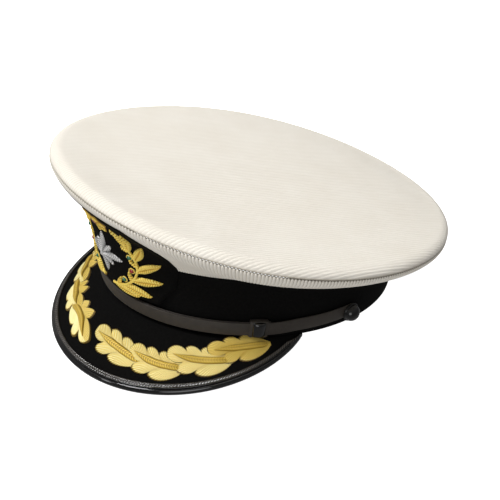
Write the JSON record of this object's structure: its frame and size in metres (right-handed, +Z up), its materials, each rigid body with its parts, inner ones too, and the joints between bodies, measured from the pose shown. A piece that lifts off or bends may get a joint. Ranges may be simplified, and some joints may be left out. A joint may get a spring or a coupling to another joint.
{
  "type": "peaked cap",
  "caption": "Service dress peaked cap with a white corded crown, black felt band, drooping peak with gold oak leaves, leather chin strap and embroidered badge, resting on its peak and band.",
  "frame": {"origin": "middle of the bounding box, on the plane of the table that the cap rests on", "axes": "+X is the wearer's left, -Y is the front where the peak points, +Z is up from the table"},
  "size_m": [0.2436, 0.2682, 0.1229],
  "materials": {
    "white_cloth": "off-white corded cloth, matt, with fine raised ribs",
    "black_felt": "matt black felted cloth",
    "patent_leather": "glossy black patent leather",
    "strap_leather": "dark leather with a soft sheen",
    "black_button": "glossy black dome",
    "gold_thread": "pale gold satin stitch in metallic thread",
    "silver_thread": "silver metallic thread",
    "red_bead": "glossy dark red bead",
    "green_bead": "glossy green bead"
  },
  "bodies": {
    "root": {"crown_top": "white_cloth", "crown_side": "white_cloth", "head_band": "black_felt", "peak": "black_felt", "peak_binding": "patent_leather", "peak_leaf_left_1": "gold_thread", "peak_leaf_left_2": "gold_thread", "peak_leaf_left_3": "gold_thread", "peak_leaf_left_4": "gold_thread", "peak_leaf_right_1": "gold_thread", "peak_leaf_right_2": "gold_thread", "peak_leaf_right_3": "gold_thread", "peak_leaf_right_4": "gold_thread", "chin_strap_outer": "strap_leather", "chin_strap_inner": "strap_leather", "strap_keeper_left": "patent_leather", "strap_keeper_right": "patent_leather", "strap_button_left": "black_button", "strap_button_right": "black_button", "badge_backing": "black_felt", "badge_star": "silver_thread", "badge_rosette": "gold_thread", "badge_rosette_bead": "red_bead", "badge_sprig_left": "gold_thread", "badge_sprig_right": "gold_thread", "badge_berry_left_1": "green_bead", "badge_berry_left_2": "red_bead", "badge_berry_left_3": "green_bead", "badge_berry_right_1": "green_bead", "badge_berry_right_2": "red_bead", "badge_berry_right_3": "green_bead"}
  },
  "joints": []
}
